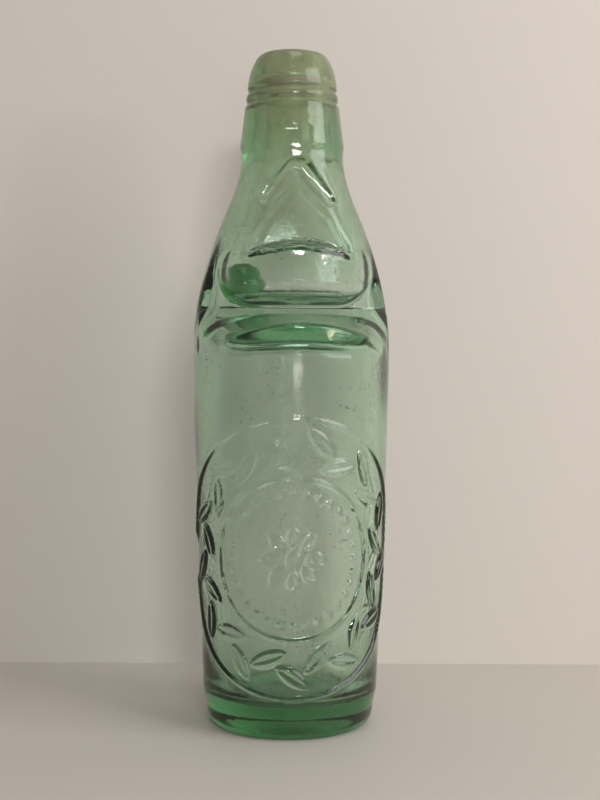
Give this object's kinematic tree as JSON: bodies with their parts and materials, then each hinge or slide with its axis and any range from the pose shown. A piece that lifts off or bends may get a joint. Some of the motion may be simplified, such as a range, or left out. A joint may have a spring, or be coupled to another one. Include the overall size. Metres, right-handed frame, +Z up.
{
  "type": "marble stopper bottle",
  "caption": "Thick glass drinks bottle, pinched below the neck so that a loose glass marble stays in its chamber and seals upward on a rubber ring in the lip.",
  "frame": {"origin": "centre of the foot, on the surface the bottle stands on", "axes": "+Z up the bottle's axis to the mouth; the front, with the two slanted dents, faces -Y"},
  "size_m": [0.0652, 0.0658, 0.222],
  "materials": {
    "bottle_glass": "pale sea-green pressed glass, thick at the base, with a faint olive stain at the lip",
    "marble_glass": "dark green solid glass",
    "ring_rubber": "aged olive-brown rubber"
  },
  "bodies": {
    "bottle": {"glass_bottle": "bottle_glass", "sealing_ring": "ring_rubber"},
    "marble": {"marble": "marble_glass"}
  },
  "joints": [
    {"name": "marble_rise", "type": "hinge", "parent": "bottle", "child": "marble", "pos_m": [-0.11642, 0, 0.20636], "axis": [0, -1, 0], "range_deg": [0, 30.45]}
  ]
}
